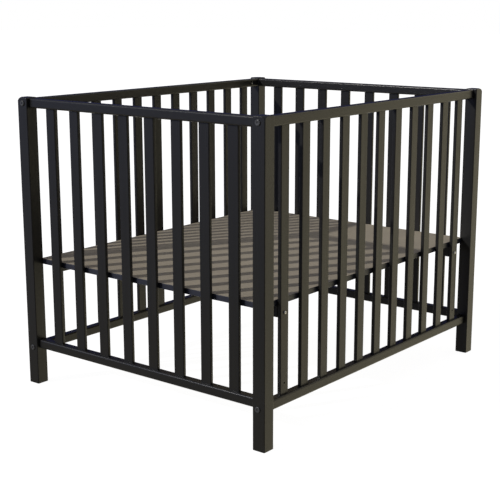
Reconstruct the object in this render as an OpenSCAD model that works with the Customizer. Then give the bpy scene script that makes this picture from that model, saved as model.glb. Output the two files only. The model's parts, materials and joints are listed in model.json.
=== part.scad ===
// Playpen with slatted sides, bolted side panels and a flat deck at the upper of two heights.
// X runs along the long sides, Y along the ends, Z up. The origin is on the floor, under the middle.
// "left" is -X, "right" is +X, "front" is -Y and "back" is +Y.

/* [Overall] */
// Length over the outer faces of the posts
length = 1030; // [980:5:1100]
// Width over the outer faces of the posts
width = 835; // [800:5:880]
// Height of the posts
height = 795.5; // [760:0.5:840]

/* [Posts] */
// Side of the square post section
post_side = 36; // [34:1:36]
// Radius of the top edges of a post
post_head_radius = 3; // [2:0.5:5]
// Radius that rounds off the outer top corner of a post
post_corner_radius = 13; // [8:1:16]
// Radius of the upright post edges
post_edge_radius = 2.5; // [1:0.5:4]

/* [Rails] */
// Height of a rail section
rail_height = 25; // [24:1:30]
// Depth of a rail section
rail_depth = 25; // [23:1:27]
// How far the rails lie in from the outer faces of the posts
rail_inset = 9.5; // [8.5:0.5:10.5]
// Radius of the long rail edges
rail_edge_radius = 4.5; // [2:0.5:5]
// How far the top rails lie below the post heads
top_rail_drop = 3; // [3:1:20]
// Underside of the bottom rails at the two ends
end_rail_underside = 102.3; // [100:0.1:104]
// Underside of the bottom rails on the two long sides
side_rail_underside = 92.2; // [88:0.1:93]

/* [Slats] */
// Width of a slat
slat_width = 32; // [28:1:33]
// Thickness of a slat
slat_thickness = 10; // [9:0.5:12]
// Radius of the long slat edges
slat_edge_radius = 2.5; // [1:0.5:4]
// How deep a slat end sits in its rail
housing_depth = 10; // [6:1:12]
// Distance from slat to slat at the ends
end_slat_pitch = 88.8; // [86:0.1:90]
// Distance from slat to slat on the long sides
side_slat_pitch = 83; // [82:0.1:84]

/* [Deck] */
// Underside of the deck panel at the upper height
deck_underside = 339; // [330:0.5:350]
// Thickness of the deck panel
deck_thickness = 15; // [9:1:18]
// Gap between the deck and the slats at the ends
deck_end_gap = 5; // [3:0.5:6]
// Gap between the deck and the slats on the long sides
deck_side_gap = 2; // [1:0.5:5]
// Gap between the posts and the notches in the deck's corners
deck_post_gap = 1; // [1:0.5:3]
// Distance between the two deck heights
deck_height_step = 176; // [160:1:180]
// Height of a bearer block
block_height = 29; // [28:1:36]
// How far a bearer block reaches inwards
block_reach = 30; // [28:1:60]

/* [Fasteners] */
// Radius of the bolts that hold the side rails to the posts
frame_bolt_radius = 3; // [2.5:0.5:3]
// Radius of a frame bolt's flat head
frame_head_radius = 7.5; // [6:0.5:8]
// Radius of the bolts that hold the bearer blocks
base_bolt_radius = 2.5; // [2:0.5:2.5]
// Radius of a base bolt's head
base_head_radius = 4.25; // [4:0.25:5]
// Radius of the wooden dowels in the end frames
dowel_radius = 3; // [2.5:0.5:3]

/* [Hidden] */
$fn = 48;
END_SLATS = 8;
SIDE_SLATS = 11;
half_l = length / 2;
half_w = width / 2;
rail_line = rail_inset + rail_depth / 2;     // rail centre line, in from the outer post face
rail_inner = rail_inset + rail_depth;        // inner rail face, in from the outer post face
top_rail_z = height - top_rail_drop - rail_height / 2;
end_low_z = end_rail_underside + rail_height / 2;
side_low_z = side_rail_underside + rail_height / 2;
fit_gap = 0.1;                               // clearance around a housed slat, a bolt or a dowel
bolt_gap = 0.05;                             // clearance of a bolt in its own nut

// Side rail bolts: head outside the post, barrel nut in the rail
bolt_line = 20;                              // bolt axis, in from the outer post face
bolt_length = 75;
bolt_head_height = 2.5;
bolt_hole_depth = 45;                        // in the rail, from its end
nut_from_end = 30;                           // barrel nut axis, from the end of the rail
nut_radius = 5;
nut_length = 18;
nut_depth = 21;                              // bore for the nut, from the inner face of the rail
hex_key_radius = 2.3;
hex_key_depth = 1.5;

// End frame dowels
dowel_pitch = 11;
dowel_in_post = 12;
dowel_in_rail = 18;
dowel_end_gap = 1;

// Deck, its blocks and their bolts
block_top = deck_underside;
base_bolt_z = block_top - 18;
low_hole_z = base_bolt_z - deck_height_step;
slat_outer = rail_line - slat_thickness / 2; // outer slat face, in from the outer post face
slat_inner = rail_line + slat_thickness / 2;
base_bolt_length = 35;
base_head_height = 3;
insert_radius = 4.5;
insert_length = 13;
insert_inset = 10;                           // from the outer face of the block
base_hole_x = (SIDE_SLATS - 1) / 2 * side_slat_pitch;
deck_half_l = half_l - slat_inner - deck_end_gap;
deck_half_w = half_w - slat_inner - deck_side_gap;
notch_x = half_l - post_side - deck_post_gap; // faces of the notches, from the middle planes
notch_y = half_w - post_side - deck_post_gap;

LEVELS = ["top", "bottom"];
function low(level) = level == "bottom";
function end_z(level) = low(level) ? end_low_z : top_rail_z;
function side_z(level) = low(level) ? side_low_z : top_rail_z;
function sx(side) = side == "left" ? -1 : 1;
function sy(side) = side == "front" ? -1 : 1;
function end_slat_y(i) = (i - (END_SLATS + 1) / 2) * end_slat_pitch;
function side_slat_x(i) = (i - (SIDE_SLATS + 1) / 2) * side_slat_pitch;

// Rounded rectangle, made of plain squares and circles so that its corners stay true arcs
module rounded_rect(w, h, r) {
    square([w - 2 * r, h], center = true);
    square([w, h - 2 * r], center = true);
    for (x = [-1, 1], y = [-1, 1])
        translate([x * (w / 2 - r), y * (h / 2 - r)]) circle(r);
}

// Outline of a post seen from one side, with its two top edges rounded
module post_outline() {
    r = post_head_radius;
    translate([-post_side / 2, 0]) square([post_side, height - r]);
    translate([-post_side / 2 + r, 0]) square([post_side - 2 * r, height]);
    for (x = [-1, 1]) translate([x * (post_side / 2 - r), height - r]) circle(r);
}

// What is taken off to round the outer top corner of a post. +X points outwards along the diagonal.
// The round lies a little outside the top face and the upright edge, and so meets both at a slight angle.
module head_corner_waste() {
    r = post_corner_radius;
    reach = post_side / 2 * sqrt(2) - post_edge_radius * (sqrt(2) - 1);
    translate([reach - r + 0.3, 0, height - r + 0.3]) difference() {
        translate([0, -post_side, 0]) cube([r + 5, 2 * post_side, r + 5]);
        rotate([90, 0, 0]) cylinder(r = r, h = 4 * post_side, center = true);
    }
}

// Cylinder from a point along X or along Y; a negative length runs the other way
module rod_x(r, from, len) {
    translate([len < 0 ? from + len : from, 0, 0]) rotate([0, 90, 0]) cylinder(r = r, h = abs(len));
}
module rod_y(r, from, len) {
    translate([0, len < 0 ? from : from + len, 0]) rotate([90, 0, 0]) cylinder(r = r, h = abs(len));
}

// One post, with its bolt holes along X and its dowel holes along Y
module post(x_side, y_side) {
    mx = sx(x_side);
    my = sy(y_side);
    centre = [mx * (half_l - post_side / 2), my * (half_w - post_side / 2)];
    color("#26282c") difference() {
        translate([centre.x, centre.y, 0]) intersection() {
            linear_extrude(height) rounded_rect(post_side, post_side, post_edge_radius);
            translate([0, post_side / 2, 0]) rotate([90, 0, 0]) linear_extrude(post_side) post_outline();
            translate([-post_side / 2, 0, 0]) rotate([90, 0, 90]) linear_extrude(post_side) post_outline();
        }
        translate([centre.x, centre.y, 0]) rotate([0, 0, atan2(my, mx)]) head_corner_waste();
        for (level = LEVELS) {
            translate([0, my * (half_w - bolt_line), side_z(level)])
                rod_x(frame_bolt_radius + fit_gap, mx * (half_l + 1), -mx * (post_side + 2));
            for (k = [-1, 1])
                translate([mx * (half_l - rail_line), 0, end_z(level) + k * dowel_pitch / 2])
                    rod_y(dowel_radius + fit_gap, my * (half_w - post_side - 1),
                          my * (dowel_in_post + dowel_end_gap + 1));
        }
    }
}

// Pocket for one slat end, open towards the slat, centred on the slat's own line
module slat_housing(level, rail_z) {
    floor_z = low(level) ? rail_z + rail_height / 2 - housing_depth - 0.5
                         : rail_z - rail_height / 2 - 1;
    translate([0, 0, floor_z]) linear_extrude(housing_depth + 1.5)
        rounded_rect(slat_width + 2 * fit_gap, slat_thickness + 2 * fit_gap, slat_edge_radius);
}

// Rail across one end, doweled to its two posts
module end_rail(side, level) {
    mx = sx(side);
    span = width - 2 * post_side;
    line_x = mx * (half_l - rail_line);
    color("#282a2f") difference() {
        translate([line_x, span / 2, end_z(level)]) rotate([90, 0, 0])
            linear_extrude(span) rounded_rect(rail_depth, rail_height, rail_edge_radius);
        for (i = [1:END_SLATS])
            translate([line_x, end_slat_y(i), 0]) rotate([0, 0, 90]) slat_housing(level, end_z(level));
        for (my = [-1, 1], k = [-1, 1])
            translate([line_x, 0, end_z(level) + k * dowel_pitch / 2])
                rod_y(dowel_radius + fit_gap, my * (span / 2 + 1), -my * (dowel_in_rail + dowel_end_gap + 1));
    }
}

// Rail along one long side, bolted through its two posts
module side_rail(side, level) {
    my = sy(side);
    span = length - 2 * post_side;
    line_y = my * (half_w - rail_line);
    z = side_z(level);
    color("#3a372f") difference() {
        translate([-span / 2, line_y, z]) rotate([90, 0, 90])
            linear_extrude(span) rounded_rect(rail_depth, rail_height, rail_edge_radius);
        for (i = [1:SIDE_SLATS]) translate([side_slat_x(i), line_y, 0]) slat_housing(level, z);
        for (mx = [-1, 1]) {
            translate([0, my * (half_w - bolt_line), z])
                rod_x(frame_bolt_radius + fit_gap, mx * (span / 2 + 1), -mx * (bolt_hole_depth + 1));
            translate([mx * (span / 2 - nut_from_end), 0, z])
                rod_y(nut_radius + fit_gap, my * (half_w - rail_inner - 1), my * (nut_depth + 1));
        }
    }
}

// Upright slat, housed in the rails above and below it
module slat(low_rail_z) {
    foot = low_rail_z + rail_height / 2 - housing_depth;
    head = top_rail_z - rail_height / 2 + housing_depth;
    translate([0, 0, foot]) linear_extrude(head - foot)
        rounded_rect(slat_width, slat_thickness, slat_edge_radius);
}

module end_slat(side, i) {
    color("#2b2d31") translate([sx(side) * (half_l - rail_line), end_slat_y(i), 0])
        rotate([0, 0, 90]) slat(end_low_z);
}

// The first and the last slat of a long side carry the two bolt holes of the deck heights
module side_slat(side, i) {
    my = sy(side);
    color("#3d3a31") difference() {
        translate([side_slat_x(i), my * (half_w - rail_line), 0]) slat(side_low_z);
        if (i == 1 || i == SIDE_SLATS)
            for (z = [base_bolt_z, low_hole_z])
                translate([side_slat_x(i), 0, z])
                    rod_y(base_bolt_radius + fit_gap, my * (half_w - slat_outer + 1), -my * (slat_thickness + 2));
    }
}

// Board with a notch in each corner that clears the post
module deck_panel() {
    color("#857d6e") translate([0, 0, deck_underside]) difference() {
        translate([-deck_half_l, -deck_half_w, 0]) cube([2 * deck_half_l, 2 * deck_half_w, deck_thickness]);
        for (x = [0, 1], y = [0, 1]) mirror([x, 0, 0]) mirror([0, y, 0])
            translate([notch_x, notch_y, -1]) cube([post_side, post_side, deck_thickness + 2]);
    }
}

// Places one child at each of the four deck bolts, with -Y pointing out of the playpen
module at_base_bolts() {
    for (x = [-1, 1], y = [-1, 1])
        translate([x * base_hole_x, y * (half_w - slat_inner), base_bolt_z])
            rotate([0, 0, y < 0 ? 0 : 180]) children();
}

module deck_blocks() {
    color("#2a2b2e") at_base_bolts() difference() {
        translate([-slat_width / 2, 0, block_top - block_height - base_bolt_z])
            cube([slat_width, block_reach, block_height]);
        rod_y(base_bolt_radius + fit_gap, -1, base_bolt_length - slat_thickness + 2);
        rod_y(insert_radius, insert_inset, insert_length);
    }
}

module block_inserts() {
    color("#b5a36a") at_base_bolts() difference() {
        rod_y(insert_radius, insert_inset, insert_length);
        rod_y(base_bolt_radius + bolt_gap, insert_inset - 1, insert_length + 2);
    }
}

module base_bolt(x_side, y_side) {
    my = sy(y_side);
    face = my * (half_w - slat_outer);
    color("#b9bcc0") translate([sx(x_side) * base_hole_x, 0, base_bolt_z]) difference() {
        union() {
            rod_y(base_bolt_radius, face, -my * base_bolt_length);
            rod_y(base_head_radius, face, my * base_head_height);
        }
        translate([0, face + my * (base_head_height + 1), 0])
            rotate([my > 0 ? 90 : -90, 0, 0]) cylinder(r = 1.7, h = 2.8, $fn = 6);
    }
}

// Places one child at each side rail bolt, with +X pointing into the playpen from the post's outer face
module at_frame_bolts() {
    for (x = [-1, 1], y = [-1, 1], z = [top_rail_z, side_low_z])
        translate([x * half_l, y * (half_w - bolt_line), z]) rotate([0, 0, x < 0 ? 0 : 180]) children();
}

module frame_bolts() {
    color("#303338") at_frame_bolts() difference() {
        union() {
            rod_x(frame_bolt_radius, 0, bolt_length);
            rod_x(frame_head_radius, 0, -bolt_head_height);
        }
        translate([-bolt_head_height - 1, 0, 0]) rotate([0, 90, 0])
            cylinder(r = hex_key_radius, h = hex_key_depth + 1, $fn = 6);
    }
}

module barrel_nuts() {
    color("#a9adb2")
        for (x = [-1, 1], y = [-1, 1], z = [top_rail_z, side_low_z])
            translate([x * (half_l - post_side - nut_from_end), 0, z]) difference() {
                rod_y(nut_radius, y * (half_w - rail_inner + nut_depth - 1), -y * nut_length);
                translate([0, y * (half_w - bolt_line), 0])
                    rod_x(frame_bolt_radius + bolt_gap, -nut_radius - 1, 2 * nut_radius + 2);
            }
}

module end_dowels() {
    color("#c9a878")
        for (x = [-1, 1], y = [-1, 1], z = [end_low_z, top_rail_z], k = [-1, 1])
            translate([x * (half_l - rail_line), 0, z + k * dowel_pitch / 2])
                rod_y(dowel_radius, y * (half_w - post_side + dowel_in_post), -y * (dowel_in_post + dowel_in_rail));
}

for (y = ["front", "back"], x = ["left", "right"])
    post(x, y);
for (s = ["left", "right"], l = LEVELS)
    end_rail(s, l);
for (s = ["front", "back"], l = LEVELS)
    side_rail(s, l);
for (s = ["left", "right"], i = [1:END_SLATS])
    end_slat(s, i);
for (s = ["front", "back"], i = [1:SIDE_SLATS])
    side_slat(s, i);
for (y = ["front", "back"], x = ["left", "right"])
    base_bolt(x, y);
deck_panel();
deck_blocks();
block_inserts();
frame_bolts();
barrel_nuts();
end_dowels();
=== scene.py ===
"""Looks of the slatted playpen: lacquered wood, coated deck, plated bolts, studio light and camera."""
import json
import math

import bmesh
import bpy
from mathutils import Matrix, Vector


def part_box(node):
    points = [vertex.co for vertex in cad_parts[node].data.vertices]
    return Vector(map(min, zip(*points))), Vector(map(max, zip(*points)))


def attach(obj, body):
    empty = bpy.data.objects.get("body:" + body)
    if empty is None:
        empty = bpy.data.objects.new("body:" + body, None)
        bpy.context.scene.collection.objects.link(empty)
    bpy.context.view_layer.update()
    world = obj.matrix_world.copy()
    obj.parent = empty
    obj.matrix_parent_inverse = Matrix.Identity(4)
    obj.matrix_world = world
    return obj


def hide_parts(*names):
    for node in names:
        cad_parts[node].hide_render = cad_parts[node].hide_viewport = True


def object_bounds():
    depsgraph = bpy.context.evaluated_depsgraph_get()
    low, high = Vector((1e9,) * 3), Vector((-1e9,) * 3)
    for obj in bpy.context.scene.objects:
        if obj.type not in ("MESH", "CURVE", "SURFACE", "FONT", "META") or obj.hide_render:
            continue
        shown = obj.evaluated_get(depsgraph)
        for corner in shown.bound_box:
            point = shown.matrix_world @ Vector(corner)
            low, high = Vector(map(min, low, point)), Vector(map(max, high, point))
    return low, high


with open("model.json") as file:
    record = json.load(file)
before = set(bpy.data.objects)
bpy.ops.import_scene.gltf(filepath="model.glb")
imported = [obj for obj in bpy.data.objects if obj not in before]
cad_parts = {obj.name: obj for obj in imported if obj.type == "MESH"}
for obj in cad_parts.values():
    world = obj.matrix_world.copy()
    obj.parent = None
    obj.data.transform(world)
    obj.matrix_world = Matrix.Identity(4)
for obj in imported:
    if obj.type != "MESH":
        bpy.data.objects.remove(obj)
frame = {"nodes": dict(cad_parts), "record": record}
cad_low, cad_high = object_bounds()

MM = 0.001
record = frame["record"]
node_body = {n: b for b, members in record["behaviour"]["bodies"].items() for n in members}

# Shape details that the boxes of the CAD nodes don't give, in metres
POST_EDGE = 2.5 * MM
POST_HEAD = 3 * MM
POST_CORNER = 13 * MM
CORNER_BITE = 0.3 * MM
RAIL_EDGE = 4.5 * MM
SLAT_EDGE = 2.5 * MM
FOOT_EASE = 1.2 * MM
RAIL_END_EASE = 0.5 * MM
SLAT_END_EASE = 0.8 * MM
HOUSING_GAP = 0.1 * MM
HOUSING_END_GAP = 0.5 * MM
BOLT_LINE = 20 * MM            # frame bolts, in from the outer post face
FRAME_BOLT_BORE = 3.1 * MM
BARREL_BORE = 5.1 * MM
NUT_DEPTH = 21 * MM
NUT_THREAD_BORE = 3.05 * MM
BASE_BOLT_BORE = 2.6 * MM
DECK_EASE = 1.0 * MM
DECK_CORNER = 1.5 * MM
DECK_POST_GAP = 1 * MM
BLOCK_EASE = 1.5 * MM

# How the meshes are made
OVERSHOOT = 1 * MM             # how far a cutter passes the face that it opens
WEAR_AND_HIGHLIGHT_DEPTH = 1 * MM            # inset at which an eased end gets the full edge mask, for wear and the painted edge highlight
LEAST_ROUND = 0.8              # least corner radius of a drawn-in section, as a share of its inset
POINT = 0.01 * MM              # radius of a ring that stands for a point
ARC_STEPS = 8
ROD_SEGMENTS = 32
WOOD_SHARP_DEG = 38
METAL_SHARP_DEG = 30


# ---------------------------------------------------------------- mesh helpers

def finish_mesh(name, bm, body, materials, sharp_deg=WOOD_SHARP_DEG, weighted=True):
    """Turns a bmesh into a piece that rides on a body, with smooth arcs and crisp arrises."""
    bmesh.ops.recalc_face_normals(bm, faces=bm.faces)
    mesh = bpy.data.meshes.new(name)
    bm.to_mesh(mesh)
    bm.free()
    mesh.shade_smooth()
    mesh.set_sharp_from_angle(angle=math.radians(sharp_deg))
    for material in materials:
        mesh.materials.append(material)
    piece = bpy.data.objects.new(name, mesh)
    bpy.context.scene.collection.objects.link(piece)
    if weighted:
        normals = piece.modifiers.new("flat_faces", "WEIGHTED_NORMAL")
        normals.keep_sharp = True
    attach(piece, body)
    return piece


def rounded_ring(w, h, r):
    """Points of a rounded rectangle, each with 1 on the arcs and 0 where a flat begins."""
    least = 0.01 * MM
    r = max(min(r, w / 2 - least, h / 2 - least), least)
    ring = []
    for k, (cx, cy) in enumerate(((1, 1), (-1, 1), (-1, -1), (1, -1))):
        for i in range(ARC_STEPS + 1):
            a = math.pi / 2 * (k + i / ARC_STEPS)
            wear_and_highlight = 0.0 if i in (0, ARC_STEPS) else 1.0
            ring.append((cx * (w / 2 - r) + r * math.cos(a), cy * (h / 2 - r) + r * math.sin(a), wear_and_highlight))
    return ring


def axis_frame(axis):
    """Matrix that takes local x, y, z to the section's two directions and the bar's length."""
    u, v, w = {"X": ((0, 1, 0), (0, 0, 1), (1, 0, 0)),
               "Y": ((1, 0, 0), (0, 0, 1), (0, 1, 0)),
               "Z": ((1, 0, 0), (0, 1, 0), (0, 0, 1))}[axis]
    return Matrix((u, v, w)).transposed()


def loft(bm, rings, wear_and_highlight_layer):
    """Skins a list of closed rings of (position, edge mask for wear and painted highlight) and caps both
    ends.
    """
    made = []
    for ring in rings:
        verts = []
        for co, wear_and_highlight in ring:
            vert = bm.verts.new(co)
            vert[wear_and_highlight_layer] = wear_and_highlight
            verts.append(vert)
        made.append(verts)
    for low, high in zip(made, made[1:]):
        for i in range(len(low)):
            j = (i + 1) % len(low)
            bm.faces.new((low[i], low[j], high[j], high[i]))
    bm.faces.new(made[0][::-1])
    bm.faces.new(made[-1])


def bar_mesh(low, high, axis, edge_r, start, end):
    """Bar that fills a box, with rounded long edges. start and end list (depth, inset) stations."""
    bm = bmesh.new()
    wear_and_highlight_layer = bm.verts.layers.float.new("wear_and_highlight")
    turn = axis_frame(axis)
    size = turn.transposed() @ (high - low)
    middle = (low + high) / 2
    stations = [(-size.z / 2 + d, inset) for d, inset in start]
    stations += [(size.z / 2 - d, inset) for d, inset in reversed(end)]
    rings = []
    for z, inset in stations:
        corner_r = max(edge_r, inset * LEAST_ROUND)
        ring = rounded_ring(size.x - 2 * inset, size.y - 2 * inset, corner_r)
        # Eased ends take the edge mask too, for wear and the painted edge highlight
        end_wear_and_highlight = min(1.0, inset / WEAR_AND_HIGHLIGHT_DEPTH)
        rings.append([(middle + turn @ Vector((x, y, z)), max(wear_and_highlight, end_wear_and_highlight)) for x, y, wear_and_highlight in ring])
    loft(bm, rings, wear_and_highlight_layer)
    return bm


def eased(amount, steps=3):
    """Stations of a small quarter round at a bar's end, from its outermost one inwards."""
    angles = [math.pi / 2 * i / steps for i in range(steps, -1, -1)]
    return [(amount * (1 - math.sin(a)), amount * (1 - math.cos(a))) for a in angles]


def rod_mesh(centre, axis, radius, length):
    """Plain rod used to drill a bore."""
    bm = bmesh.new()
    place = Matrix.Translation(centre) @ axis_frame(axis).to_4x4()
    bmesh.ops.create_cone(bm, cap_ends=True, segments=ROD_SEGMENTS, radius1=radius, radius2=radius,
                          depth=length, matrix=place)
    return bm


def joined_cutters(cutters):
    """One object made of all the cutters. It lives only while carve uses it."""
    joined = bmesh.new()
    joined.verts.layers.float.new("wear_and_highlight")
    for cutter in cutters:
        part = bpy.data.meshes.new("cutter")
        bmesh.ops.recalc_face_normals(cutter, faces=cutter.faces)
        cutter.to_mesh(part)
        cutter.free()
        joined.from_mesh(part)
        bpy.data.meshes.remove(part)
    mesh = bpy.data.meshes.new("cutters")
    joined.to_mesh(mesh)
    joined.free()
    tool = bpy.data.objects.new("cutters", mesh)
    bpy.context.scene.collection.objects.link(tool)
    return tool


def carve(piece, cutters):
    """Cuts a list of bmesh cutters out of a piece's mesh, with its other modifiers switched off meanwhile."""
    tool = joined_cutters(cutters)
    others = list(piece.modifiers)
    for modifier in others:
        modifier.show_viewport = False
    cut = piece.modifiers.new("bores", "BOOLEAN")
    cut.operation = "DIFFERENCE"
    cut.solver = "EXACT"
    cut.object = tool
    graph = bpy.context.evaluated_depsgraph_get()
    carved = bpy.data.meshes.new_from_object(piece.evaluated_get(graph))
    piece.modifiers.remove(cut)
    for modifier in others:
        modifier.show_viewport = True
    carved.shade_smooth()
    carved.set_sharp_from_angle(angle=math.radians(WOOD_SHARP_DEG))
    old = piece.data
    piece.data = carved
    carved.name = piece.name
    bpy.data.meshes.remove(old)
    tool_mesh = tool.data
    bpy.data.objects.remove(tool)
    bpy.data.meshes.remove(tool_mesh)


def turned(bm, place, rings, segments=24):
    """Turned shape: rings of (height, radius), where a radius may be a function of the angle."""
    made = []
    for height, radius in rings:
        verts = []
        for i in range(segments):
            a = 2 * math.pi * i / segments
            r = radius(a) if callable(radius) else radius
            verts.append(bm.verts.new(place @ Vector((r * math.cos(a), r * math.sin(a), height))))
        made.append(verts)
    for low, high in zip(made, made[1:]):
        for i in range(segments):
            j = (i + 1) % segments
            bm.faces.new((low[i], low[j], high[j], high[i]))
    bm.faces.new(made[0][::-1])
    bm.faces.new(made[-1])


def hexagon(across_flats):
    """Radius of a hexagonal socket as a function of the angle."""
    def radius(a):
        return across_flats / 2 / math.cos((a + math.pi / 6) % (math.pi / 3) - math.pi / 6)
    return radius


# ------------------------------------------------------------------- materials

def mix_colours(tree, factor, a, b):
    """Colour Mix node. Each colour is a tuple, which is set on the node, or an output, which is linked."""
    node = tree.nodes.new("ShaderNodeMix")
    node.data_type = "RGBA"
    tree.links.new(factor, node.inputs["Factor"])
    socket_a, socket_b = [socket for socket in node.inputs if socket.type == "RGBA"]
    for socket, value in ((socket_a, a), (socket_b, b)):
        if isinstance(value, tuple):
            socket.default_value = (*value, 1)
        else:
            tree.links.new(value, socket)
    return next(output for output in node.outputs if output.type == "RGBA")


class Nodes:
    """Short way to write a material's node tree."""

    def __init__(self, name):
        self.material = bpy.data.materials.new(name)
        self.material.use_nodes = True
        self.tree = self.material.node_tree
        self.shader = self.tree.nodes["Principled BSDF"]
        self.place = self.tree.nodes.new("ShaderNodeTexCoord").outputs["Object"]

    def link(self, source, socket):
        self.tree.links.new(source, socket)

    def stretched(self, scale):
        node = self.tree.nodes.new("ShaderNodeMapping")
        node.inputs["Scale"].default_value = scale
        self.link(self.place, node.inputs["Vector"])
        return node.outputs["Vector"]

    def noise(self, vector, scale=1.0, detail=3.0, roughness=0.5):
        node = self.tree.nodes.new("ShaderNodeTexNoise")
        node.inputs["Scale"].default_value = scale
        node.inputs["Detail"].default_value = detail
        node.inputs["Roughness"].default_value = roughness
        self.link(vector, node.inputs["Vector"])
        return node.outputs["Fac"]

    def between(self, value, low, high, to_low=0.0, to_high=1.0):
        node = self.tree.nodes.new("ShaderNodeMapRange")
        for name, number in (("From Min", low), ("From Max", high), ("To Min", to_low), ("To Max", to_high)):
            node.inputs[name].default_value = number
        self.link(value, node.inputs["Value"])
        return node.outputs["Result"]

    def math(self, operation, a, b):
        node = self.tree.nodes.new("ShaderNodeMath")
        node.operation = operation
        for socket, value in zip(node.inputs, (a, b)):
            if isinstance(value, (int, float)):
                socket.default_value = value
            else:
                self.link(value, socket)
        return node.outputs["Value"]

    def mix(self, factor, a, b):
        return mix_colours(self.tree, factor, a, b)

    def attribute(self, name):
        node = self.tree.nodes.new("ShaderNodeAttribute")
        node.attribute_name = name
        return node.outputs["Fac"]

    def bump(self, height, distance, strength=1.0):
        node = self.tree.nodes.new("ShaderNodeBump")
        node.inputs["Distance"].default_value = distance
        node.inputs["Strength"].default_value = strength
        self.link(height, node.inputs["Height"])
        self.link(node.outputs["Normal"], self.shader.inputs["Normal"])


def along(axis, across, lengthwise):
    """Texture scale that is coarse along the grain and fine across it."""
    return tuple(lengthwise if name == axis else across for name in "XYZ")


LACQUER_DARK = (0.0088, 0.0087, 0.0086)
LACQUER_LIGHT = (0.0140, 0.0137, 0.0130)
# Arris colour: a painted highlight along the rounded edges, which also stands for rubbed lacquer
LACQUER_WEAR_AND_HIGHLIGHT = (0.030, 0.031, 0.037)
LACQUER_ROUGHNESS = 0.30
DULLING_BY_FLECKS = 0.12
POLISH_BY_WEAR = 0.07


def lacquered_wood(name, axis):
    """Black satin lacquer over solid wood: tone bands, short grain flecks, and arrises lightened by a painted
    highlight that also stands for soft rubbing, where the lacquer is a little glossier.
    """
    n = Nodes(name)
    band = n.noise(n.stretched(along(axis, 55, 2.2)), detail=4, roughness=0.55)
    tone = n.between(band, 0.32, 0.68)
    fleck = n.between(n.noise(n.stretched(along(axis, 1500, 110)), detail=2), 0.56, 0.68)
    peel = n.noise(n.place, scale=520, detail=2)
    colour = n.mix(tone, LACQUER_DARK, LACQUER_LIGHT)
    colour = n.mix(n.math("MULTIPLY", fleck, 0.55), colour, tuple(0.45 * c for c in LACQUER_DARK))
    patchy = n.between(n.noise(n.stretched(along(axis, 240, 35)), detail=3), 0.35, 0.7)
    # Painted highlight along the arrises, in patches; the same edge mask makes the rubbed arrises a little
    # glossier
    wear_and_highlight = n.math("MULTIPLY", n.attribute("wear_and_highlight"), patchy)
    colour = n.mix(n.math("MULTIPLY", wear_and_highlight, 0.5), colour, LACQUER_WEAR_AND_HIGHLIGHT)
    n.link(colour, n.shader.inputs["Base Color"])
    rough = n.between(tone, 0, 1, LACQUER_ROUGHNESS + 0.05, LACQUER_ROUGHNESS - 0.04)
    rough = n.math("ADD", rough, n.math("MULTIPLY", fleck, DULLING_BY_FLECKS))
    rough = n.math("SUBTRACT", rough, n.math("MULTIPLY", wear_and_highlight, POLISH_BY_WEAR))
    n.link(rough, n.shader.inputs["Roughness"])
    height = n.math("SUBTRACT", n.math("MULTIPLY", peel, 0.5), n.math("MULTIPLY", fleck, 0.8))
    n.bump(height, 0.12 * MM, 0.5)
    n.shader.inputs["Specular IOR Level"].default_value = 0.32
    return n.material


def coated_deck(name):
    """Matt taupe coating on a fibre board, with a fine pressed grain."""
    n = Nodes(name)
    cloud = n.between(n.noise(n.stretched((4, 6, 6)), detail=4), 0.3, 0.7)
    strand = n.between(n.noise(n.stretched((30, 900, 900)), detail=3), 0.3, 0.72)
    speck = n.between(n.noise(n.place, scale=1400, detail=2), 0.6, 0.72)
    colour = n.mix(cloud, (0.345, 0.302, 0.230), (0.385, 0.341, 0.262))
    colour = n.mix(n.math("MULTIPLY", strand, 0.22), colour, (0.25, 0.21, 0.155))
    colour = n.mix(n.math("MULTIPLY", speck, 0.35), colour, (0.47, 0.42, 0.34))
    n.link(colour, n.shader.inputs["Base Color"])
    n.link(n.between(strand, 0, 1, 0.56, 0.68), n.shader.inputs["Roughness"])
    n.bump(n.math("SUBTRACT", speck, strand), 0.08 * MM, 0.6)
    n.shader.inputs["Specular IOR Level"].default_value = 0.3
    return n.material


def edge_band(name):
    """Blue-black plastic band round the deck, with fine lengthwise scraping marks."""
    n = Nodes(name)
    scrape = n.noise(n.stretched((45, 45, 2600)), detail=3)
    cloud = n.noise(n.place, scale=60, detail=3)
    n.link(n.mix(n.between(cloud, 0.35, 0.65), (0.010, 0.012, 0.022), (0.016, 0.018, 0.031)),
           n.shader.inputs["Base Color"])
    n.link(n.between(scrape, 0.3, 0.7, 0.32, 0.5), n.shader.inputs["Roughness"])
    n.bump(scrape, 0.05 * MM, 0.6)
    return n.material


def plated_metal(name, colour, dull, rough, metallic=1.0):
    """Plated steel or turned brass: fine turning lines, clouded plating and a few dull patches."""
    n = Nodes(name)
    lines = n.noise(n.stretched((900, 2600, 900)), detail=3)
    cloud = n.between(n.noise(n.place, scale=420, detail=4), 0.38, 0.66)
    n.link(n.mix(cloud, colour, dull), n.shader.inputs["Base Color"])
    n.link(n.between(n.math("ADD", lines, cloud), 0.4, 1.4, rough - 0.06, rough + 0.14),
           n.shader.inputs["Roughness"])
    n.bump(lines, 0.03 * MM, 0.5)
    n.shader.inputs["Metallic"].default_value = metallic
    return n.material


def raw_beech(name, axis):
    """Unpainted beech for the dowels."""
    n = Nodes(name)
    ring = n.between(n.noise(n.stretched(along(axis, 420, 9)), detail=4), 0.3, 0.7)
    fleck = n.between(n.noise(n.stretched(along(axis, 1700, 160)), detail=2), 0.58, 0.68)
    colour = n.mix(ring, (0.47, 0.29, 0.155), (0.60, 0.41, 0.24))
    n.link(n.mix(fleck, colour, (0.30, 0.16, 0.08)), n.shader.inputs["Base Color"])
    n.link(n.between(ring, 0, 1, 0.55, 0.7), n.shader.inputs["Roughness"])
    n.bump(n.math("SUBTRACT", ring, fleck), 0.1 * MM, 0.5)
    return n.material


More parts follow.
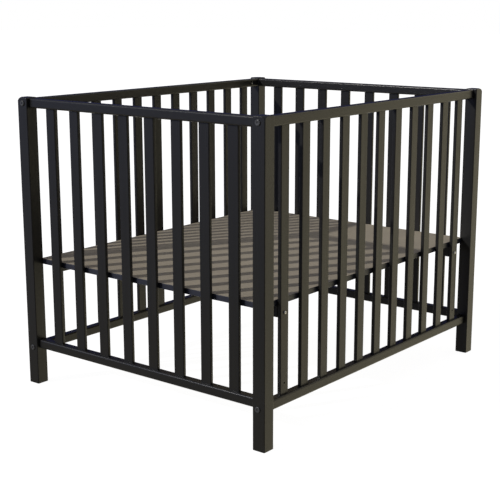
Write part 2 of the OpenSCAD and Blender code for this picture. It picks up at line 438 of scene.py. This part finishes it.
lacquer = {axis: lacquered_wood("lacquered_wood_" + axis.lower(), axis) for axis in "XYZ"}
deck_top = coated_deck("deck_coating")
deck_edge = edge_band("deck_edge_band")
zinc = plated_metal("zinc_plating", (0.72, 0.73, 0.75), (0.50, 0.50, 0.50), 0.26)
dark_steel = plated_metal("dark_coated_steel", (0.084, 0.085, 0.086), (0.048, 0.048, 0.049), 0.40, 0.6)
brass = plated_metal("turned_brass", (0.66, 0.48, 0.20), (0.50, 0.34, 0.13), 0.30)
dowel_wood = raw_beech("dowel_beech", "Y")


# ---------------------------------------------------------------------- pieces

def box_of(node):
    low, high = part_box(node)
    return Vector(low), Vector(high)


def middle_of(node):
    low, high = box_of(node)
    return (low + high) / 2


def nodes_with(start):
    return sorted(n for n in frame["nodes"] if n.startswith(start))


def is_slat(node):
    return "_slat_" in node


def housing_cutters(low, high, rail, slats):
    """Cutters for the pockets that the slat ends sit in."""
    cutters = []
    for node in slats:
        s_low, s_high = box_of(node)
        inside = s_low.z < high.z and s_high.z > low.z
        touches = s_low.x < high.x and s_high.x > low.x and s_low.y < high.y and s_high.y > low.y
        if not (inside and touches):
            continue
        bottom_rail = rail.endswith("bottom_rail")
        z_from = s_low.z - HOUSING_END_GAP if bottom_rail else low.z - OVERSHOOT
        z_to = high.z + OVERSHOOT if bottom_rail else s_high.z + HOUSING_END_GAP
        gap = Vector((HOUSING_GAP, HOUSING_GAP, 0))
        c_low = Vector((s_low.x, s_low.y, z_from)) - gap
        c_high = Vector((s_high.x, s_high.y, z_to)) + gap
        cutters.append(bar_mesh(c_low, c_high, "Z", SLAT_EDGE, [(0, 0)], [(0, 0)]))
    return cutters


def head_corner_waste(low, high, outward):
    """Cutter that rounds off the outer top corner of a post head along its diagonal."""
    # The rounded corner takes 0.7 of the edge mask, for rubbing and the painted edge highlight
    steps, past, half_width, corner_wear_and_highlight = 20, 5 * MM, 40 * MM, 0.7
    reach = (high.x - low.x) / 2 * math.sqrt(2) - POST_EDGE * (math.sqrt(2) - 1)
    axis_x = reach - POST_CORNER + CORNER_BITE
    axis_z = high.z - POST_CORNER + CORNER_BITE
    profile = [(axis_x + POST_CORNER * math.cos(a), axis_z + POST_CORNER * math.sin(a))
               for a in (math.pi / 2 * i / steps for i in range(steps + 1))]
    far_x, far_z = axis_x + POST_CORNER + past, axis_z + POST_CORNER + past
    profile += [(axis_x, far_z), (far_x, far_z), (far_x, axis_z)]
    outward = outward.normalized()
    across = Vector((-outward.y, outward.x, 0))
    middle = Vector(((low.x + high.x) / 2, (low.y + high.y) / 2, 0))
    bm = bmesh.new()
    wear_and_highlight_layer = bm.verts.layers.float.new("wear_and_highlight")
    rings = []
    for side in (-1, 1):
        flank = middle + across * side * half_width
        rings.append([(flank + outward * x + Vector((0, 0, z)), corner_wear_and_highlight) for x, z in profile])
    loft(bm, rings, wear_and_highlight_layer)
    return bm


def make_posts():
    """Square posts with eased edges, one rounded top corner and the bores for the side rail bolts."""
    bore_length = 60 * MM
    bolt_heights = [round(middle_of(f"front_{level}_rail").z, 5) for level in ("bottom", "top")]
    for node in nodes_with("post_"):
        low, high = box_of(node)
        bm = bar_mesh(low, high, "Z", POST_EDGE, eased(FOOT_EASE), eased(POST_HEAD, 8))
        piece = finish_mesh(node + "_wood", bm, node_body[node], [lacquer["Z"]])
        side = 1 if low.y > 0 else -1
        outer = max(abs(low.y), abs(high.y))
        middle = (low + high) / 2
        bolt_y = side * (outer - BOLT_LINE)
        cutters = [rod_mesh(Vector((middle.x, bolt_y, z)), "X", FRAME_BOLT_BORE, bore_length)
                   for z in bolt_heights]
        cutters.append(head_corner_waste(low, high, Vector((math.copysign(1, middle.x), side, 0))))
        carve(piece, cutters)
        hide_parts(node)


def make_rails():
    """Rails with rounded long edges, slat housings and, on the long sides, barrel nut bores."""
    slats = [n for n in frame["nodes"] if is_slat(n)]
    nut_low, nut_high = solids_of("barrel_nuts")[0]
    nut_place = abs((nut_low.x + nut_high.x) / 2)
    for node in [n for n in frame["nodes"] if n.endswith("_rail")]:
        low, high = box_of(node)
        axis = "Y" if node.startswith(("left", "right")) else "X"
        bm = bar_mesh(low, high, axis, RAIL_EDGE, eased(RAIL_END_EASE), eased(RAIL_END_EASE))
        piece = finish_mesh(node + "_wood", bm, node_body[node], [lacquer[axis]])
        cutters = housing_cutters(low, high, node, slats)
        if axis == "X":
            side = 1 if low.y > 0 else -1
            inner = side * min(abs(low.y), abs(high.y))
            for nut_x in (-nut_place, nut_place):
                centre = Vector((nut_x, inner + side * NUT_DEPTH / 2, (low.z + high.z) / 2))
                cutters.append(rod_mesh(centre, "Y", BARREL_BORE, NUT_DEPTH))
        carve(piece, cutters)
        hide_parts(node)


def make_slats():
    """Flat slats with rounded edges; the four that carry the deck have two bolt holes each."""
    bore_length = 30 * MM
    bolt_nodes = nodes_with("base_bolt_")
    low_hole = next(m for m in record["mounts"] if m["name"] == "low_deck_holes_front")
    low_hole_z = low_hole["pos_m"][2]
    for node in [n for n in frame["nodes"] if is_slat(n)]:
        low, high = box_of(node)
        bm = bar_mesh(low, high, "Z", SLAT_EDGE, eased(SLAT_END_EASE), eased(SLAT_END_EASE))
        piece = finish_mesh(node + "_wood", bm, node_body[node], [lacquer["Z"]])
        middle = (low + high) / 2
        for bolt in bolt_nodes:
            b_low, b_high = box_of(bolt)
            if not (b_low.x < middle.x < b_high.x and b_low.y < middle.y < b_high.y):
                continue
            bolt_z = (b_low.z + b_high.z) / 2
            carve(piece, [rod_mesh(Vector((middle.x, middle.y, z)), "Y", BASE_BOLT_BORE, bore_length)
                          for z in (bolt_z, low_hole_z)])
        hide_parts(node)


def deck_outline(half, notch, inset):
    """Outline of the notched board, drawn in by inset all round, with its outward corners rounded."""
    half_x, half_y = half.x - inset, half.y - inset
    notch_x, notch_y = notch.x - inset, notch.y - inset
    r = DECK_CORNER - inset
    steps = 5
    arc = [(r * math.cos(a), r * math.sin(a)) for a in (math.pi / 2 * i / steps for i in range(steps + 1))]
    quarter = [(half_x - r + dx, notch_y - r + dy) for dx, dy in arc]
    quarter.append((notch_x, notch_y))
    quarter += [(notch_x - r + dx, half_y - r + dy) for dx, dy in arc]
    outline = []
    for sign_x, sign_y in ((1, 1), (-1, 1), (-1, -1), (1, -1)):
        points = [(sign_x * x, sign_y * y) for x, y in quarter]
        outline += points if sign_x == sign_y else points[::-1]
    return outline


def make_deck():
    """Notched deck board with eased arrises: coated faces above and below, a dark band on the edges."""
    low, high = box_of("deck_panel")
    post_low = box_of("post_back_right")[0]
    notch = Vector((post_low.x - DECK_POST_GAP, post_low.y - DECK_POST_GAP))
    ease = eased(DECK_EASE, 4)
    stations = [(low.z + depth, inset) for depth, inset in ease]
    stations += [(high.z - depth, inset) for depth, inset in reversed(ease)]
    bm = bmesh.new()
    wear_and_highlight_layer = bm.verts.layers.float.new("wear_and_highlight")
    loft(bm, [[(Vector((x, y, z)), 1.0 if inset else 0.0) for x, y in deck_outline(high, notch, inset)]
              for z, inset in stations], wear_and_highlight_layer)
    bm.normal_update()
    least_level = 0.9
    for face in bm.faces:
        face.material_index = 0 if abs(face.normal.z) > least_level else 1
    piece = finish_mesh("deck_board", bm, node_body["deck_panel"], [deck_top, deck_edge])
    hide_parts("deck_panel")


def solids_of(node):
    """Boxes of the separate solids in a node, in order of place."""
    bm = bmesh.new()
    bm.from_mesh(frame["nodes"][node].data)
    bmesh.ops.remove_doubles(bm, verts=bm.verts, dist=0.001 * MM)
    seen = set()
    boxes = []
    for start in bm.verts:
        if start in seen:
            continue
        seen.add(start)
        stack = [start]
        members = []
        while stack:
            vert = stack.pop()
            members.append(vert.co.copy())
            for edge in vert.link_edges:
                other = edge.other_vert(vert)
                if other not in seen:
                    seen.add(other)
                    stack.append(other)
        boxes.append((Vector(map(min, *members)), Vector(map(max, *members))))
    bm.free()
    return sorted(boxes, key=lambda b: (round(b[0].x, 3), round(b[0].y, 3), round(b[0].z, 3)))


def make_blocks():
    """Bearer blocks with eased edges, drilled for their bolts."""
    bore_length = 28 * MM
    bore_centre = 13 * MM          # in from the outer face of the block
    bolt_z = middle_of("base_bolt_back_left").z
    for i, (low, high) in enumerate(solids_of("deck_blocks")):
        bm = bar_mesh(low, high, "Y", BLOCK_EASE, eased(BLOCK_EASE), eased(BLOCK_EASE))
        piece = finish_mesh(f"deck_block_{i + 1}_wood", bm, node_body["deck_blocks"], [lacquer["Y"]])
        middle = (low + high) / 2
        side = 1 if middle.y > 0 else -1
        outer = max(abs(low.y), abs(high.y))
        centre = Vector((middle.x, side * (outer - bore_centre), bolt_z))
        carve(piece, [rod_mesh(centre, "Y", BASE_BOLT_BORE, bore_length)])
        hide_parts("deck_blocks")


def threaded(radius, depth, pitch, height):
    """Radius of a screw thread at a height, as a function of the angle. Its crest and root are flat."""
    flank = 2.6
    crest = 0.15

    def at(a):
        phase = (height / pitch - a / (2 * math.pi)) % 1.0
        return radius - depth * min(1.0, max(0.0, flank * abs(phase - 0.5) - crest))
    return at


def base_bolt_rings(head_r, length):
    """Rings of an M5 button head bolt, from the floor of its socket round the head to its tip."""
    head, key, socket_depth = 3 * MM, 3 * MM, 1.8 * MM
    shank_r, plain_shank = 2.5 * MM, 12 * MM
    pitch, thread_depth, turn_steps = 0.8 * MM, 0.42 * MM, 5
    rings = [(socket_depth + 0.1 * MM, POINT), (socket_depth, hexagon(key)), (0.15 * MM, hexagon(key)),
             (0.0, hexagon(key + 0.4 * MM))]
    dome = [math.pi / 2 * i / 6 for i in range(1, 7)]
    rings += [(head * (1 - math.cos(a)) * 0.9, head_r * (0.62 + 0.38 * math.sin(a))) for a in dome]
    rings += [(head - 0.1 * MM, head_r), (head, head_r - 0.1 * MM), (head, shank_r),
              (head + plain_shank, shank_r)]
    start = head + plain_shank + 0.3 * MM
    rise = pitch / turn_steps
    steps = int((length - start - 0.6 * MM) / rise)
    rings += [(start + k * rise, threaded(shank_r - 0.01 * MM, thread_depth, pitch, k * rise))
              for k in range(steps)]
    rings += [(length - 0.3 * MM, 2.05 * MM), (length, 1.7 * MM), (length, POINT)]
    return rings


def make_base_bolts():
    """M5 bolts with button heads, hexagon sockets and real threads."""
    for node in nodes_with("base_bolt_"):
        low, high = box_of(node)
        side = 1 if high.y > 0 else -1
        outer = side * max(abs(low.y), abs(high.y))
        place = Matrix.Translation(((low.x + high.x) / 2, outer, (low.z + high.z) / 2))
        place = place @ Matrix.Rotation(math.pi / 2 * side, 4, "X")
        bm = bmesh.new()
        turned(bm, place, base_bolt_rings((high.x - low.x) / 2, high.y - low.y))
        piece = finish_mesh(node + "_zinc", bm, node_body[node], [zinc], METAL_SHARP_DEG, weighted=False)
        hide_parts(node)


def frame_bolt_rings(head_r, length):
    """Rings of an M6 flat head bolt, from the floor of its socket round the head to its tip."""
    head, rim, shank_r = 2.5 * MM, 1.3 * MM, 3 * MM
    key, socket_depth = 4 * MM, 1.8 * MM
    rings = [(socket_depth + 0.1 * MM, POINT), (socket_depth, hexagon(key)), (0.35 * MM, hexagon(key)),
             (0.12 * MM, hexagon(key + 0.5 * MM)), (0.1 * MM, 3.4 * MM), (0.0, 3.9 * MM)]
    rim_arc = [math.pi / 2 * k / 6 for k in range(7)]
    rings += [(rim * (1 - math.cos(a)), head_r - rim + rim * math.sin(a)) for a in rim_arc]
    rings += [(head - 0.2 * MM, head_r), (head, head_r - 0.2 * MM), (head, shank_r),
              (length - 0.4 * MM, shank_r), (length, 2.6 * MM)]
    return rings


def make_frame_bolts():
    """Flat-headed connector bolts with rounded rims and hexagon sockets."""
    for i, (low, high) in enumerate(solids_of("frame_bolts")):
        side = 1 if high.x > 0 else -1
        outer = side * max(abs(low.x), abs(high.x))
        place = Matrix.Translation((outer, (low.y + high.y) / 2, (low.z + high.z) / 2))
        place = place @ Matrix.Rotation(-math.pi / 2 * side, 4, "Y")
        bm = bmesh.new()
        turned(bm, place, frame_bolt_rings((high.y - low.y) / 2, high.x - low.x), segments=36)
        piece = finish_mesh(f"frame_bolt_{i + 1}_steel", bm, node_body["frame_bolts"], [dark_steel],
                            METAL_SHARP_DEG, weighted=False)
        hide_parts("frame_bolts")


def make_barrel_nuts():
    """Barrel nuts with a slot for turning them in the end that shows."""
    ease = 0.5 * MM
    slot_size = (12 * MM, 1.4 * MM, 3.2 * MM, 1)
    bore_length = 20 * MM
    for i, (low, high) in enumerate(solids_of("barrel_nuts")):
        side = 1 if high.y > 0 else -1
        shown = side * min(abs(low.y), abs(high.y))
        place = Matrix.Translation(((low.x + high.x) / 2, shown, (low.z + high.z) / 2))
        place = place @ Matrix.Rotation(-math.pi / 2 * side, 4, "X")
        r = (high.x - low.x) / 2
        length = high.y - low.y
        bm = bmesh.new()
        turned(bm, place, [(0, r - ease), (ease * 0.3, r - ease * 0.3), (ease, r), (length - ease, r),
                           (length, r - ease)], segments=40)
        piece = finish_mesh(f"barrel_nut_{i + 1}_zinc", bm, node_body["barrel_nuts"], [zinc], weighted=False)
        slot_cut = bmesh.new()
        bmesh.ops.create_cube(slot_cut, size=1.0, matrix=place @ Matrix.Diagonal(slot_size))
        bolt_axis = Vector(((low.x + high.x) / 2, side * (cad_high.y - BOLT_LINE), (low.z + high.z) / 2))
        carve(piece, [slot_cut, rod_mesh(bolt_axis, "X", NUT_THREAD_BORE, bore_length)])
        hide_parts("barrel_nuts")


make_posts()
make_rails()
make_slats()
make_deck()
make_blocks()
make_base_bolts()
make_frame_bolts()
make_barrel_nuts()
for name, finish in (("block_inserts", brass), ("end_dowels", dowel_wood)):
    kept = frame["nodes"][name]
    kept.data.materials.clear()
    kept.data.materials.append(finish)


# ------------------------------------------------------------ floor, light, camera

# The studio's surroundings, laid over each other in this order. Each is a direction, the angles in degrees
# at which it has faded out and is full, how far it is stretched in height, and a colour.
SURROUNDINGS_BASE = (0.10, 0.11, 0.15)
SURROUNDINGS = (
    ((-0.76, 0.62, 0), 75, 20, 2.5, (0.32, 0.38, 0.56)),         # cool wall, mirrored in the left end
    ((-0.76, 0.62, 0.06), 42, 8, 0.3, (0.34, 0.41, 0.74)),       # bluer band across that wall
    ((0, 0, -1), 89, 72, 1.0, (0.24, 0.21, 0.14)),               # warm light off the floor
    ((0.66, -0.70, -0.30), 34, 8, 1.0, (0.90, 0.83, 0.63)),      # warm wall, mirrored in the front side
    ((0.76, 0.61, 0.2), 60, 15, 1.0, (0.015, 0.02, 0.10)),       # deep blue, mirrored in faces turned up
    ((0.76, 0.61, -1), 46, 10, 1.0, (1.5, 1.45, 1.35)),          # low fill for the back
    ((0.970, -0.242, -0.05), 35, 20, 2.5, (1.22, 1.11, 0.79)),   # warm wall, for the front side's far end
    ((0, 0, 1), 75, 10, 1.0, (0.37, 0.37, 0.40)),                # soft light from above
)

KEY_TRAVEL = (1.69, -0.968, -1.0)
KEY_STRENGTH = 2.5
KEY_WIDTH_DEG = 0.9
KEY_COLOUR = (1.0, 0.97, 0.92)

CAMERA_PLACE = (-2.4891, -1.9527, 1.0456)
CAMERA_LENS = 81.29                # millimetres, on a sensor 36 mm wide
CAMERA_HEADING_DEG = 51.367        # from +Y towards +X
CAMERA_TILT_DEG = 12.466           # downwards
CAMERA_ROLL_DEG = 0.07


def make_floor():
    """Plain pale floor that takes a faint shadow."""
    half_side = 30
    own_light = 0.955
    bm = bmesh.new()
    bmesh.ops.create_grid(bm, x_segments=8, y_segments=8, size=half_side)
    mesh = bpy.data.meshes.new("studio_floor")
    bm.to_mesh(mesh)
    bm.free()
    floor = bpy.data.objects.new("studio_floor", mesh)
    bpy.context.scene.collection.objects.link(floor)
    n = Nodes("pale_floor")
    cloud = n.between(n.noise(n.place, scale=2.5, detail=3), 0.3, 0.7)
    n.link(n.mix(cloud, (0.20, 0.20, 0.20), (0.23, 0.23, 0.23)), n.shader.inputs["Base Color"])
    n.shader.inputs["Roughness"].default_value = 0.9
    n.shader.inputs["Specular IOR Level"].default_value = 0.0
    n.shader.inputs["Emission Color"].default_value = (1, 1, 1, 1)
    n.shader.inputs["Emission Strength"].default_value = own_light
    mesh.materials.append(n.material)
    floor.visible_glossy = False
    floor.visible_diffuse = False


def make_world():
    """Studio that is white to the camera and lights the object with softly shaded surroundings."""
    world = bpy.data.worlds.new("studio")
    bpy.context.scene.world = world
    world.use_nodes = True
    tree = world.node_tree
    tree.nodes.clear()
    link = tree.links.new

    def node(kind, **values):
        made = tree.nodes.new(kind)
        for key, value in values.items():
            setattr(made, key, value)
        return made

    direction = node("ShaderNodeTexCoord").outputs["Generated"]

    def glow(towards, outer, inner, tall):
        """1 within the inner angle of a direction, falling to 0 at the outer one. tall stretches it in Z."""
        squash = node("ShaderNodeVectorMath", operation="MULTIPLY")
        squash.inputs[1].default_value = (1, 1, 1 / tall)
        link(direction, squash.inputs[0])
        unit = node("ShaderNodeVectorMath", operation="NORMALIZE")
        link(squash.outputs["Vector"], unit.inputs[0])
        dot = node("ShaderNodeVectorMath", operation="DOT_PRODUCT")
        dot.inputs[1].default_value = Vector(towards).normalized()
        link(unit.outputs["Vector"], dot.inputs[0])
        fall = node("ShaderNodeMapRange", interpolation_type="SMOOTHSTEP")
        fall.inputs["From Min"].default_value = math.cos(math.radians(outer))
        fall.inputs["From Max"].default_value = math.cos(math.radians(inner))
        link(dot.outputs["Value"], fall.inputs["Value"])
        return fall.outputs["Result"]

    colour = SURROUNDINGS_BASE
    for towards, outer, inner, tall, glow_colour in SURROUNDINGS:
        colour = mix_colours(tree, glow(towards, outer, inner, tall), colour, glow_colour)
    surroundings = node("ShaderNodeBackground")
    link(colour, surroundings.inputs["Color"])
    seen = node("ShaderNodeBackground")
    seen.inputs["Color"].default_value = (1, 1, 1, 1)
    choose = node("ShaderNodeMixShader")
    link(node("ShaderNodeLightPath").outputs["Is Camera Ray"], choose.inputs["Fac"])
    link(surroundings.outputs["Background"], choose.inputs[1])
    link(seen.outputs["Background"], choose.inputs[2])
    link(choose.outputs["Shader"], node("ShaderNodeOutputWorld").inputs["Surface"])


def make_key_light():
    """Low directional key from behind on the left, which draws the slats' shadows across the deck."""
    data = bpy.data.lights.new("key", "SUN")
    data.energy = KEY_STRENGTH
    data.angle = math.radians(KEY_WIDTH_DEG)
    data.color = KEY_COLOUR
    key = bpy.data.objects.new("key", data)
    key.rotation_mode = "QUATERNION"
    key.rotation_quaternion = Vector(KEY_TRAVEL).normalized().to_track_quat("-Z", "Y")
    bpy.context.scene.collection.objects.link(key)


def make_camera():
    """Camera off the near corner, about a metre above the floor."""
    data = bpy.data.cameras.new("camera")
    data.sensor_width = 36
    data.lens = CAMERA_LENS
    data.clip_start = 0.1
    data.clip_end = 100
    camera = bpy.data.objects.new("camera", data)
    camera.location = CAMERA_PLACE
    heading = math.radians(CAMERA_HEADING_DEG)
    tilt = math.radians(CAMERA_TILT_DEG)
    look = Vector((math.sin(heading) * math.cos(tilt), math.cos(heading) * math.cos(tilt), -math.sin(tilt)))
    camera.rotation_mode = "QUATERNION"
    roll = Matrix.Rotation(math.radians(CAMERA_ROLL_DEG), 3, look)
    camera.rotation_quaternion = (roll @ look.to_track_quat("-Z", "Y").to_matrix()).to_quaternion()
    bpy.context.scene.collection.objects.link(camera)
    bpy.context.scene.camera = camera


make_floor()
make_world()
make_key_light()
make_camera()
bpy.context.scene.view_settings.view_transform = "Standard"
